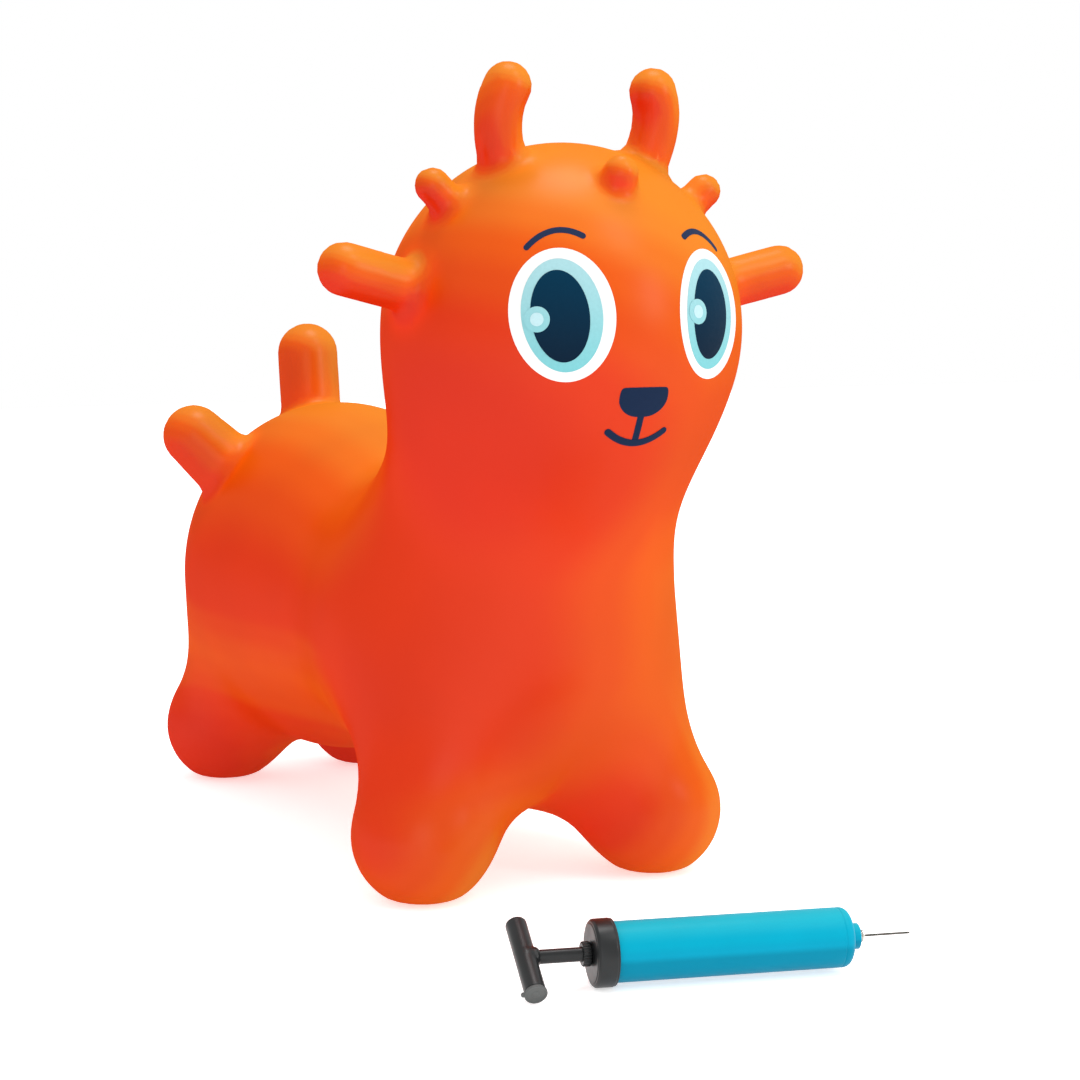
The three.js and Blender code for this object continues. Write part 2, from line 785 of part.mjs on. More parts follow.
const barrelStart = capWall + fitGap;
const barrelEnd = capLength + barrelShown;
const barrelBore = barrelRadius - barrelWall;
const barrelFloor = barrelEnd - barrelEndWall;
const nozzleEnd = barrelEnd + nozzleLength;
const studHole = studRadius + fitGap;
const barX = -handleOut;
const socketEnd = barX + barRadius + socketLength;
const rodEnd = barX;
const pushIn = -guideLength - fitGap - socketEnd;
const pistonEnd = barrelFloor - pistonEndGap - pushIn;
const pistonStart = pistonEnd - pistonThickness;
const grooveStart = pistonStart + pistonFlange;
const grooveEnd = pistonEnd - pistonFlange;
const pistonRadius = barrelBore - fitGap;
const grooveRadius = pistonRadius - pistonGrooveDepth;

// Barrel: open at the cap, rounded shoulder and threaded nozzle at the other end
function pumpBarrel() {
  const ringEnd = barrelEnd - barrelRingGap;
  const ringStart = ringEnd - barrelRingWidth;
  const studHoleFloor = nozzleEnd - studLength - fitGap;
  return turned([
    [barrelBore, barrelStart],
    [barrelBore, barrelFloor],
    [nozzleDuctRadius, barrelFloor],
    [nozzleDuctRadius, studHoleFloor],
    [studHole, studHoleFloor],
    [studHole, nozzleEnd],
    [nozzleRadius, nozzleEnd],
    [nozzleRadius, barrelEnd],
    ...corner(barrelRadius - barrelShoulder, barrelEnd - barrelShoulder, barrelShoulder, 90, 0),
    [barrelRadius, ringEnd],
    [barrelRadius - barrelRingDepth, ringEnd - barrelRingWidth / 2],
    [barrelRadius, ringStart],
    [barrelRadius, barrelStart],
  ]);
}

// Cap: a cup over the open end, with a hole for the rod guide
function barrelCap() {
  return turned([
    [guideNeckRadius + fitGap, 0],
    ...corner(capRadius - capEdge, capEdge, capEdge, -90, 0),
    [capRadius, capLength],
    [barrelRadius + fitGap, capLength],
    [barrelRadius + fitGap, capWall],
    [guideNeckRadius + fitGap, capWall],
  ]);
}

// Ribbed bush that guides the rod; its neck stands in the cap's hole
function rodGuide() {
  const rib = (angle) => guideRadius - guideRibDepth * (0.5 - 0.5 * Math.cos(guideRibs * angle));
  const points = Array.from({ length: 4 * guideRibs }, (_, i) => {
    const angle = 2 * Math.PI * i / (4 * guideRibs);
    return new THREE.Vector2(rib(angle) * Math.cos(angle), rib(angle) * Math.sin(angle));
  });
  const head = new THREE.ExtrudeGeometry(new THREE.Shape(points), {
    depth: guideLength - fitGap,
    bevelEnabled: false,
  });
  head.rotateY(Math.PI / 2);
  head.translate(-guideLength, 0, 0);
  const reach = capWall - fitGap;
  const neck = turned([[0, -guideLength / 2], [guideNeckRadius, -guideLength / 2], [guideNeckRadius, reach], [0, reach]]);
  const boreRadius = rodRadius + fitGap;
  const bore = turned([[0, -handleOut], [boreRadius, -handleOut], [boreRadius, capLength], [0, capLength]]);
  return solid(head).add(neck).subtract(bore);
}

// Rod with its moulded piston head: two flanges and a groove between them
function plungerRod() {
  return turned([
    [0, rodEnd],
    [rodRadius, rodEnd],
    [rodRadius, pistonStart],
    [pistonRadius, pistonStart],
    [pistonRadius, grooveStart],
    [grooveRadius, grooveStart],
    [grooveRadius, grooveEnd],
    [pistonRadius, grooveEnd],
    [pistonRadius, pistonEnd],
    [0, pistonEnd],
  ]);
}

// Rubber ring in the piston's groove, with a rounded rim against the bore
function pistonRing() {
  const low = grooveStart + fitGap;
  const high = grooveEnd - fitGap;
  const half = (high - low) / 2;
  const rim = barrelBore - fitGap / 2;
  const round = half / 2;
  return turned([
    [grooveRadius + fitGap, low],
    ...corner(rim - round, low + round, round, -90, 0),
    ...corner(rim - round, high - round, round, 0, 90),
    [grooveRadius + fitGap, high],
  ]);
}

// Crossbar pieces are drawn along X and laid square to the pump's axis, with the open end low
function acrossHandle(geometry) {
  return solid(geometry.rotateZ(-Math.PI / 2).rotateX(barTurn()).translate(barX, 0, 0));
}

// Angle about the pump's axis at which the crossbar's plugged end rests on the floor
function barTurn() {
  const reach = barLength / 2 + fitGap + plugFlangeThickness;
  const drop = Math.asin((capRadius - fitGap) / Math.hypot(reach, plugFlangeRadius));
  return drop - Math.atan2(plugFlangeRadius, reach);
}

// Crossbar: a tube closed at its far end, with a low collar round the rod's hole
function handleBar() {
  const low = -barLength / 2;
  const high = barLength / 2;
  const bar = acrossHandle(revolved([
    [0, low],
    ...corner(barRadius - capEdge, low + capEdge, capEdge, -90, 0),
    [barRadius, high],
    [0, high],
  ]));
  const socketStart = barX + barBoreRadius;
  const socket = turned([
    [0, socketStart],
    [socketRootRadius, socketStart],
    [socketRootRadius, barX + barRadius],
    [socketRadius, socketEnd],
    [0, socketEnd],
  ]);
  const floor = low + barEndWall;
  const past = high + fitGap;
  const bore = acrossHandle(revolved([[0, floor], [barBoreRadius, floor], [barBoreRadius, past], [0, past]]));
  const holeRadius = rodRadius + fitGap;
  const hole = turned([[0, barX], [holeRadius, barX], [holeRadius, 0], [0, 0]]);
  return bar.add(socket).subtract(bore).subtract(hole);
}

// Push-in plug at the crossbar's open end, with a small pull tab on its rim
function handlePlug() {
  const seat = barLength / 2 + fitGap;
  const face = seat + plugFlangeThickness;
  const stemRadius = barBoreRadius - fitGap;
  const plug = acrossHandle(revolved([
    [0, seat - plugLength],
    [stemRadius, seat - plugLength],
    [stemRadius, seat],
    [plugFlangeRadius, seat],
    [plugFlangeRadius, face],
    [0, face],
  ], smallSides));
  const tabLength = plugFlangeRadius + plugTabReach;
  const tab = new THREE.BoxGeometry(plugFlangeThickness - 2 * plugTabInset, tabLength, plugTabWidth);
  tab.translate((seat + face) / 2, -tabLength / 2, 0);
  return plug.add(acrossHandle(tab));
}

// Needle hub: a round flange with a stud that screws into the nozzle
function needleHub() {
  const flangeStart = nozzleEnd + fitGap;
  const flangeEnd = flangeStart + hubLength;
  const seat = flangeEnd - needleSeat;
  const tubeHole = needleRadius + fitGap;
  return turned([
    [needleBoreRadius, nozzleEnd - studLength],
    [studRadius, nozzleEnd - studLength],
    [studRadius, flangeStart],
    [hubRadius, flangeStart],
    [hubRadius, flangeEnd - capEdge],
    [hubRadius - capEdge, flangeEnd],
    [tubeHole, flangeEnd],
    [tubeHole, seat],
    [needleBoreRadius, seat],
  ], smallSides);
}

function needleTube() {
  const start = nozzleEnd + fitGap + hubLength - needleSeat + fitGap;
  const end = nozzleEnd + fitGap + hubLength + needleShown;
  return turned([
    [needleBoreRadius, start],
    [needleRadius, start],
    [needleRadius, end - needleRadius],
    [needleBoreRadius + (needleRadius - needleBoreRadius) / 2, end],
    [needleBoreRadius, end],
  ], smallSides / 2);
}

function pump() {
  const group = new THREE.Group();
  group.add(
    mesh('pump_barrel', pumpBarrel(), material.barrel),
    mesh('barrel_cap', barrelCap(), material.black),
    mesh('rod_guide', rodGuide(), material.black),
    mesh('plunger_rod', plungerRod(), material.black),
    mesh('piston_ring', pistonRing(), material.seal),
    mesh('handle_bar', handleBar(), material.black),
    mesh('handle_plug', handlePlug(), material.black),
    mesh('needle_hub', needleHub(), material.steel),
    mesh('needle_tube', needleTube(), material.steel),
  );
  const middle = capLength + barrelShown / 2;
  const yaw = -radians(pumpTurn);
  group.rotation.z = yaw;
  group.position.set(pumpX - middle * Math.cos(yaw), pumpY - middle * Math.sin(yaw), capRadius);
  return group;
}

const set = new THREE.Group();
set.add(
  mesh('skin', skin(), material.skin),
  mesh('valve_core', valveCore(), material.valve),
  ...eye(1, 'L'),
  ...eye(-1, 'R'),
  ...muzzle(),
  pump(),
);

// Origin under the middle of the whole set's box
const hopper = new THREE.Group();
hopper.add(set);
hopper.updateMatrixWorld(true);
const wholeBox = new THREE.Box3().setFromObject(hopper, true);
const middle = wholeBox.getCenter(new THREE.Vector3());
set.position.set(-middle.x, -middle.y, -wholeBox.min.z);

export default hopper;
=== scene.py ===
"""Looks of the animal hopper and its hand pump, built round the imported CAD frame."""

import math

import bpy
import numpy as np
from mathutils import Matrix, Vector


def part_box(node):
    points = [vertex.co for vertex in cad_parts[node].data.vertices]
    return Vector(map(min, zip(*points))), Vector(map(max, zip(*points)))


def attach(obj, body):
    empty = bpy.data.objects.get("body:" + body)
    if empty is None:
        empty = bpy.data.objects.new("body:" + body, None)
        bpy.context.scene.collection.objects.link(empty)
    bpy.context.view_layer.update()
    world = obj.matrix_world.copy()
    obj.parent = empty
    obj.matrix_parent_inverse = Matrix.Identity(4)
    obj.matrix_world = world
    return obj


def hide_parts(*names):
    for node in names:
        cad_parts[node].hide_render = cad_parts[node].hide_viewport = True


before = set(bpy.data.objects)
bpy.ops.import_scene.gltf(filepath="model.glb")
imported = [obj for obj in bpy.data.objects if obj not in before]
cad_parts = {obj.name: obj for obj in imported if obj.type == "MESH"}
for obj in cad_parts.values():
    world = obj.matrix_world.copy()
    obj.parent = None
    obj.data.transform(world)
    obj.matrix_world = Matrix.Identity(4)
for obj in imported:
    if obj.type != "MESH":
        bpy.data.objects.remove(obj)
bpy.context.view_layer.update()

MM = 0.001
SHIFT = Vector((0, (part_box("valve_core")[0].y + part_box("valve_core")[1].y) / 2, 0))


def vec(*parts):
    return np.array(parts, float)


# Soft body, in millimetres before the shift to the row frame: centre and radii of each ellipsoid
HEAD = vec(0, -246, 385), vec(122, 116, 123)
CHEST = vec(0, -141, 171), vec(123, 150, 127)
RUMP = vec(0, 125, 179), vec(122, 167, 140)
NECK_BLEND, BACK_BLEND, LEG_BLEND, GROWTH_BLEND, SOLE_BLEND = 127, 114, 64, 10, 5
FOOT_RADIUS, SOLE_DEPTH = 49, 5
FOOT_Z = FOOT_RADIUS - SOLE_DEPTH
# Left legs: middle of the hip, middle of the foot, and the radius at each
LEGS = [
    (vec(53, -183, 141), vec(90, -216, FOOT_Z), 33, FOOT_RADIUS),
    (vec(49, 203, 99), vec(64, 230, FOOT_Z), 33, FOOT_RADIUS),
]
ANTLER_RADIUS, ANTLER_LOWER, ANTLER_UPPER, ANTLER_LINKS = 15.6, 27, 22, 9
ANTLER_LEAN_OUT, ANTLER_LEAN_AHEAD = 12.5, 11
TAIL_RADIUS, TAIL_LENGTH = 24.6, 49

# How finely the surface is looked for and netted
SEARCH_REACH, SEARCH_HALVINGS = 320.0, 40
SKIN_LOW, SKIN_HIGH, SKIN_STEP = vec(-185, -365, 0), vec(185, 300, 560), 5.0
NET_PULLS = 4


def blend(a, b, reach):
    """Smooth union of two fields."""
    overlap = np.maximum(reach - np.abs(a - b), 0) / reach
    return np.minimum(a, b) - overlap * overlap * reach / 4


def ellipsoid(p, centre, radii):
    """Distance to an ellipsoid, near enough close to its surface."""
    d = (p - centre) / radii
    near = np.linalg.norm(d, axis=-1)
    return near * (near - 1) / (np.linalg.norm(d / radii, axis=-1) + 1e-9)


def stub(p, a, b, ra, rb):
    """Distance to a round-ended stub between two balls."""
    span = b - a
    length2 = span @ span
    shrink = ra - rb
    flank2 = length2 - shrink * shrink
    q = p - a
    along = q @ span
    past = along - length2
    side2 = ((q * length2 - span * along[..., None]) ** 2).sum(-1)
    along2, past2 = along * along * length2, past * past * length2
    turn = np.sign(shrink) * shrink * shrink * side2
    tip = np.sqrt(side2 + past2) / length2 - rb
    root = np.sqrt(side2 + along2) / length2 - ra
    flank = (np.sqrt(side2 * flank2 / length2) + along * shrink) / length2 - ra
    return np.where(np.sign(past) * flank2 * past2 > turn, tip,
                    np.where(np.sign(along) * flank2 * along2 < turn, root, flank))


def left(p):
    """Points folded onto the left side."""
    return np.concatenate([np.abs(p[..., :1]), p[..., 1:]], -1)


def body_field(p):
    """Head, chest, rump and legs, without growths and soles."""
    q = left(p)
    d = ellipsoid(q, *HEAD)
    d = blend(d, ellipsoid(q, *CHEST), NECK_BLEND)
    d = blend(d, ellipsoid(q, *RUMP), BACK_BLEND)
    for leg in LEGS:
        d = blend(d, stub(q, *leg), LEG_BLEND)
    return d


def direction(around, up):
    """Heading from degrees round from straight ahead and degrees up."""
    a, e = math.radians(around), math.radians(up)
    return vec(math.sin(a) * math.cos(e), -math.cos(a) * math.cos(e), math.sin(e))


def on_skin(start, heading):
    """Where lines from inside the body meet its skin."""
    start = np.asarray(start, float)
    near = np.zeros(start.shape[:-1])
    far = near + SEARCH_REACH
    for _ in range(SEARCH_HALVINGS):
        middle = (near + far) / 2
        inside = body_field(start + heading * middle[..., None]) < 0
        near, far = np.where(inside, middle, near), np.where(inside, far, middle)
    return start + heading * near[..., None]


def radial(centre, around, up, reach, root, tip):
    """Straight stub out of the skin, away from a centre."""
    heading = direction(around, up)
    start = on_skin(centre, heading)
    return [(start, start + heading * reach, root, tip)]


def antler():
    """Evenly bent stub that leans out first and then in."""
    def lean(out):
        v = vec(math.tan(math.radians(out)), -math.tan(math.radians(ANTLER_LEAN_AHEAD)), 1)
        return v / np.linalg.norm(v)
    root = on_skin(HEAD[0], direction(72, 63))
    knee = root + lean(ANTLER_LEAN_OUT) * ANTLER_LOWER
    tip = knee + lean(-ANTLER_LEAN_OUT) * ANTLER_UPPER
    pull = 2 * knee - (root + tip) / 2
    t = np.linspace(0, 1, ANTLER_LINKS + 1)[:, None]
    path = (1 - t) ** 2 * root + 2 * t * (1 - t) * pull + t * t * tip
    return [(a, b, ANTLER_RADIUS, ANTLER_RADIUS) for a, b in zip(path, path[1:])]


def tail():
    """Straight stub at the rump, steeper than the skin it stands on."""
    root = on_skin(RUMP[0], direction(180, 63.5))
    return [(root, root + direction(180, 83) * TAIL_LENGTH, TAIL_RADIUS, TAIL_RADIUS)]


EARS = radial(HEAD[0], around=85, up=13.5, reach=47, root=17, tip=17)
SIDE_NUBS = radial(HEAD[0], around=82, up=42, reach=16, root=11.5, tip=11.5)
BROW_NUB = radial(HEAD[0], around=0, up=52, reach=7, root=11.5, tip=11.5)
HIP_NUBS = radial(RUMP[0], around=108, up=44, reach=33.5, root=27, tip=24.4)
GROWTHS = [antler(), EARS, SIDE_NUBS, BROW_NUB, tail(), HIP_NUBS]


def skin_field(p):
    """The whole skin: body, growths and flat soles."""
    q = left(p)
    d = body_field(p)
    for growth in GROWTHS:
        nearest = np.min([stub(q, *part) for part in growth], axis=0)
        d = blend(d, nearest, GROWTH_BLEND)
    return -blend(-d, p[..., 2], SOLE_BLEND)


def slope(field, p, step=0.05):
    """Which way a field grows, and how fast."""
    out = np.empty_like(p)
    for axis in range(3):
        move = np.zeros(3)
        move[axis] = step
        out[..., axis] = (field(p + move) - field(p - move)) / (2 * step)
    return out


def netted(field, low, high, step):
    """Closed quad net of a field's zero surface, pulled onto the surface."""
    axes = [np.arange(a - 2 * step, b + 2.5 * step, step) for a, b in zip(low, high)]
    grid = np.stack(np.meshgrid(*axes, indexing="ij"), -1)
    value = field(grid)
    inside = value < 0
    total = np.zeros(tuple(n - 1 for n in value.shape) + (3,))
    count = np.zeros(total.shape[:3])
    for axis in range(3):
        v = np.moveaxis(value, axis, 0)
        g = np.moveaxis(grid, axis, 0)
        crossed = (v[:-1] < 0) != (v[1:] < 0)
        share = np.where(crossed, v[:-1] / np.where(crossed, v[:-1] - v[1:], 1), 0)
        spot = (g[:-1] + (g[1:] - g[:-1]) * share[..., None]) * crossed[..., None]
        for b in (slice(None, -1), slice(1, None)):
            for c in (slice(None, -1), slice(1, None)):
                total += np.moveaxis(spot[:, b, c], 0, axis)
                count += np.moveaxis(crossed[:, b, c], 0, axis)
    used = count > 0
    number = np.full(count.shape, -1)
    number[used] = np.arange(used.sum())
    points = total[used] / count[used][:, None]
    for _ in range(NET_PULLS):
        way = slope(field, points)
        points -= way * (field(points) / (way * way).sum(-1))[:, None]
    quads = []
    for axis in range(3):
        s = np.moveaxis(inside, axis, 0)
        n = np.moveaxis(number, axis, 0)
        if axis == 1:
            s, n = s.swapaxes(1, 2), n.swapaxes(1, 2)
        i, j, k = np.nonzero(s[:-1, 1:-1, 1:-1] != s[1:, 1:-1, 1:-1])
        ring = np.stack([n[i, j + 1, k + 1], n[i, j, k + 1], n[i, j, k], n[i, j + 1, k]], 1)
        out = s[i, j + 1, k + 1]
        quads.append(np.where(out[:, None], ring, ring[:, ::-1]))
    return points, np.concatenate(quads)


def piece(name, points, faces, look, body, nodes, sharp=None):
    """A mesh from millimetre points, in place of CAD nodes and riding on a body."""
    mesh = bpy.data.meshes.new(name)
    rows = np.asarray(points, float) * MM + np.array(SHIFT)
    mesh.from_pydata(rows.tolist(), [], [list(map(int, f)) for f in faces])
    mesh.validate()
    mesh.shade_smooth()
    if sharp is not None:
        mesh.set_sharp_from_angle(angle=math.radians(sharp))
    mesh.materials.append(look)
    made = bpy.data.objects.new(name, mesh)
    bpy.context.scene.collection.objects.link(made)
    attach(made, body)
    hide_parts(*nodes)
    return made


# Materials
def linear(r, g, b):
    """Display colour from 0 to 255 as a shader colour."""
    def one(c):
        c /= 255
        return c / 12.92 if c <= 0.04045 else ((c + 0.055) / 1.055) ** 2.4
    return one(r), one(g), one(b), 1.0


class Look:
    """A node material with a few short-hands for procedural inputs."""

    def __init__(self, name):
        self.material = bpy.data.materials.new(name)
        self.material.use_nodes = True
        self.nodes = self.material.node_tree.nodes
        self.links = self.material.node_tree.links
        self.shader = self.nodes["Principled BSDF"]
        self.place = self.nodes.new("ShaderNodeTexCoord").outputs["Object"]

    def noise(self, scale, detail):
        node = self.nodes.new("ShaderNodeTexNoise")
        node.inputs["Scale"].default_value = scale
        node.inputs["Detail"].default_value = detail
        node.inputs["Roughness"].default_value = 0.55
        self.links.new(self.place, node.inputs["Vector"])
        return node.outputs["Fac"]

    def ranged(self, value, from_low, from_high, to_low, to_high):
        """A number moved from one range to another and held inside it."""
        node = self.nodes.new("ShaderNodeMapRange")
        for i, number in enumerate((from_low, from_high, to_low, to_high)):
            node.inputs[i + 1].default_value = number
        self.links.new(value, node.inputs[0])
        return node.outputs[0]

    def ramp(self, value, *stops):
        """Colour that passes smoothly through stops of (position, colour)."""
        node = self.nodes.new("ShaderNodeValToRGB")
        node.color_ramp.interpolation = "EASE"
        while len(node.color_ramp.elements) < len(stops):
            node.color_ramp.elements.new(0.5)
        for element, (at, colour) in zip(node.color_ramp.elements, stops):
            element.position = at
            element.color = colour
        self.links.new(value, node.inputs[0])
        return node.outputs[0]

    def times(self, a, b):
        """Two colours multiplied."""
        node = self.nodes.new("ShaderNodeMix")
        node.data_type = "RGBA"
        node.blend_type = "MULTIPLY"
        node.inputs[0].default_value = 1.0
        for socket, source in ((node.inputs[6], a), (node.inputs[7], b)):
            if isinstance(source, tuple):
                socket.default_value = source
            else:
                self.links.new(source, socket)
        return node.outputs[2]

    def along(self, axis):
        """Dot of the place with a direction, in metres."""
        node = self.nodes.new("ShaderNodeVectorMath")
        node.operation = "DOT_PRODUCT"
        node.inputs[1].default_value = axis
        self.links.new(self.place, node.inputs[0])
        return node.outputs["Value"]

    def facing(self, axis):
        """Dot of the surface's own normal with a fixed direction."""
        node = self.nodes.new("ShaderNodeVectorMath")
        node.operation = "DOT_PRODUCT"
        node.inputs[1].default_value = axis
        normal = self.nodes.new("ShaderNodeNewGeometry").outputs["Normal"]
        self.links.new(normal, node.inputs[0])
        return node.outputs["Value"]

    def carried(self, name):
        """A number that each point of the mesh carries."""
        node = self.nodes.new("ShaderNodeAttribute")
        node.attribute_name = name
        return node.outputs["Fac"]

    def math(self, kind, a, b):
        node = self.nodes.new("ShaderNodeMath")
        node.operation = kind
        self.links.new(a, node.inputs[0])
        if isinstance(b, float):
            node.inputs[1].default_value = b
        else:
            self.links.new(b, node.inputs[1])
        return node.outputs[0]

    def red(self, share):
        """White with its red multiplied by a share."""
        node = self.nodes.new("ShaderNodeCombineColor")
        self.links.new(share, node.inputs[0])
        node.inputs[1].default_value = 1.0
        node.inputs[2].default_value = 1.0
        return node.outputs[0]

    def feed(self, socket, value):
        """A plain value set on the shader's socket, or a node's output linked to it."""
        if isinstance(value, (int, float, tuple)):
            self.shader.inputs[socket].default_value = value
        else:
            self.links.new(value, self.shader.inputs[socket])
        return self

    def bump(self, height, strength, distance):
        node = self.nodes.new("ShaderNodeBump")
        node.inputs["Strength"].default_value = strength
        node.inputs["Distance"].default_value = distance
        self.links.new(height, node.inputs["Height"])
        self.links.new(node.outputs["Normal"], self.shader.inputs["Normal"])
        return self


def grey(share):
    return share, share, share, 1.0


# Painted light and shade on the skin, from its deepest painted shade to its brightest painted top
PAINTED_SKIN_SHADES = [
    (0.03, (0.58, 0.02, 0.001, 1)), (0.2, (0.615, 0.031, 0.001, 1)), (0.37, (0.64, 0.06, 0.001, 1)),
    (0.53, (0.68, 0.088, 0.001, 1)), (0.7, (0.695, 0.149, 0.008, 1)), (0.85, (0.69, 0.192, 0.014, 1)),
    (1.0, (0.68, 0.208, 0.014, 1)),
]
DEEPEST, BRIGHTEST = -1.2, 1.2
# Painted light on the hind part by height, from the floor to HAUNCH_TOP metres
HAUNCH_TOP = 0.2
HAUNCH_PAINTED_LIGHT = [
    (0.05, grey(0.0)), (0.15, grey(0.2)), (0.25, grey(0.36)), (0.35, grey(0.51)), (0.45, grey(0.78)),
    (0.6, grey(0.98)), (0.75, grey(0.77)), (0.85, grey(0.58)), (0.95, grey(0.533)),
]
# Where the front part passes into the hind part, in metres along Y
WAIST = -0.06, 0.03
# Painted light: TOP_GAIN lightens upward faces the higher they stand, HEIGHT_GAIN lightens higher parts,
# BRIGHT_SIDE is the painted lit side, GROWTH_GAIN lightens the growths, RED_SIDE is the way painted light
# raises the red.
TOP_GAIN, HEIGHT_GAIN, GROWTH_GAIN = 4.06, 0.32, 0.34
BRIGHT_SIDE, SIDE_LOW, SIDE_HIGH = (0.85, 0.29, -0.2), -1.2, 0.28
RED_SIDE = -0.052, 0.03, 0.07


def vinyl():
    """Orange vinyl with light and shade painted in: painted shade redder below and on the shaded side, painted
    light yellower on top, on the growths and in the hollows.
    """
    look = Look("skin_vinyl")
    height = look.along((0, 0, 1))
    # Painted light: upward faces lighter higher up, the lit side lighter, the growths lighter.
    painted_top_light = look.math("MULTIPLY", look.facing((0, 0, TOP_GAIN)), height)
    sideways = look.math("ADD", look.facing(BRIGHT_SIDE), look.math("MULTIPLY", height, HEIGHT_GAIN))
    turned = look.ranged(sideways, SIDE_LOW, SIDE_HIGH, SIDE_LOW, SIDE_HIGH)
    painted_growth_light = look.math("MULTIPLY", look.carried("stand"), GROWTH_GAIN)

    # Painted light and shade low down: a band along the haunches, and lighter front feet near the floor.
    band = look.ramp(look.ranged(height, 0.0, HAUNCH_TOP, 0, 1), *HAUNCH_PAINTED_LIGHT)
    length = look.along((0, 1, 0))
    behind = look.ranged(length, *WAIST, 0.0, 1.0)
    ahead = look.ranged(length, *WAIST, 1.0, 0.0)
    painted_haunch_shading = look.math("MULTIPLY", behind, look.ranged(band, 0.0, 1.0, -0.8, 0.7))
    painted_toe_light = look.math("MULTIPLY", ahead, look.ranged(height, 0.02, 0.15, 0.3, -0.03))
    # Painted shade between the front legs, where the skin hems itself in.
    hemmed = look.carried("nook")
    painted_shade_between_legs = look.math("MULTIPLY", look.math("MULTIPLY", hemmed, ahead),
                             look.ranged(height, 0.1, 0.22, -1.2, 0.0))
    low = look.math("ADD", look.math("ADD", painted_haunch_shading, painted_toe_light), painted_shade_between_legs)

    total = look.math("ADD", look.math("ADD", painted_top_light, turned), look.math("ADD", painted_growth_light, low))
    # Painted light and shade: the sum picks the skin's colour from deepest painted shade to brightest painted
    # top.
    painted_shading = look.ramp(look.ranged(total, DEEPEST, BRIGHTEST, 0, 1), *PAINTED_SKIN_SHADES)
    patchy = look.ramp(look.noise(9, 2), (0.3, linear(249, 247, 247)), (0.7, linear(255, 255, 255)))
    # Painted light: red raised on faces turned along RED_SIDE, and hemmed-in points painted lighter to fill
    # their shade.
    redder = look.red(look.ranged(look.facing(RED_SIDE), -0.1, 0.1, 0.93, 1.13))
    painted_nook_light = look.ramp(hemmed, (0.12, (0.79, 0.79, 0.79, 1)), (0.5, (0.94, 0.9, 0.86, 1)))
    even = look.times(look.times(painted_shading, redder), painted_nook_light)
    look.feed("Base Color", look.times(even, patchy))
    look.feed("Roughness", 0.55).feed("Specular IOR Level", 0.0)
    look.feed("Coat Weight", 0.032).feed("Coat IOR", 4.0).feed("Coat Roughness", 0.33)
    return look.bump(look.noise(900, 2), 0.06, 0.0006).material


# Heights that the eyes' inks pass between, in metres
EYE_BOTTOM, EYE_TOP = 0.34, 0.45


def ink(name, low, high=None):
    """Printed ink of one colour, or passing from low to high up the eye."""
    look = Look(name)
    base = low
    if high:
        rise = look.ranged(look.along((0, 0, 1)), EYE_BOTTOM, EYE_TOP, 0, 1)
        base = look.ramp(rise, (0.0, low), (1.0, high))
    grain = look.ramp(look.noise(500, 2), (0.3, linear(250, 250, 250)), (0.7, linear(255, 255, 255)))
    look.feed("Base Color", look.times(base, grain))
    look.feed("Roughness", look.ranged(look.noise(300, 3), 0.3, 0.7, 0.46, 0.58))
    look.feed("Specular IOR Level", 0.04)
    return look.bump(look.noise(900, 2), 0.05, 0.0005).material


def plastic(name, dark, light, rough):
    """Moulding with a faint cloud of two shades and a fine grain."""
    look = Look(name)
    look.feed("Base Color", look.ramp(look.noise(40, 3), (0.3, dark), (0.7, light)))
    look.feed("Roughness", look.ranged(look.noise(120, 4), 0.3, 0.7, *rough))
    look.feed("Specular IOR Level", 0.3)
    return look.bump(look.noise(700, 2), 0.06, 0.0004).material


def barrel_plastic():
    """Turquoise moulding with painted shade, deeper towards its underside."""
    look = Look("barrel_plastic")
    # Painted shade: darker on faces turned down, lighter on top.
    lit = look.ranged(look.facing((0, 0, 1)), -0.2, 1.0, 0, 1)
    painted_shading = look.ramp(lit, (0.0, linear(0, 116, 142)), (0.22, linear(0, 137, 165)),
                     (0.5, linear(0, 144, 170)), (1.0, linear(26, 158, 176)))
    cloudy = look.ramp(look.noise(40, 3), (0.3, linear(252, 252, 252)), (0.7, linear(255, 255, 255)))
    look.feed("Base Color", look.times(painted_shading, cloudy))
    look.feed("Roughness", look.ranged(look.noise(120, 4), 0.3, 0.7, 0.36, 0.44))
    look.feed("Specular IOR Level", 0.05)
    return look.bump(look.noise(700, 2), 0.04, 0.0004).material


def metal(name, dark, light):
    """Bright metal with fine marks."""
    look = Look(name)
    look.feed("Base Color", look.ramp(look.noise(300, 3), (0.3, dark), (0.7, light)))
    look.feed("Metallic", 1.0)
    look.feed("Roughness", look.ranged(look.noise(900, 3), 0.3, 0.7, 0.16, 0.26))
    return look.bump(look.noise(2500, 2), 0.04, 0.0002).material


SKIN = vinyl()
WHITE = ink("white_ink", linear(218, 213, 211))
IRIS = ink("iris_ink", linear(101, 170, 175), linear(149, 185, 190))
PUPIL = ink("pupil_ink", linear(5, 19, 36), linear(0, 45, 68))
DOT = ink("dot_ink", linear(165, 195, 200))
BROW = ink("brow_ink", linear(30, 41, 67))
DARK = ink("muzzle_ink", linear(17, 32, 56))
BARREL = barrel_plastic()
BLACK = plastic("black_plastic", linear(15, 17, 18), linear(21, 23, 24), rough=(0.32, 0.4))
PLUG = plastic("plug_plastic", linear(60, 62, 62), linear(76, 78, 77), rough=(0.45, 0.6))
RUBBER = plastic("valve_rubber", linear(36, 36, 37), linear(52, 52, 53), rough=(0.6, 0.75))
STEEL = metal("hub_metal", linear(196, 192, 184), linear(226, 222, 215))
NEEDLE = metal("needle_metal", linear(72, 70, 66), linear(90, 88, 84))


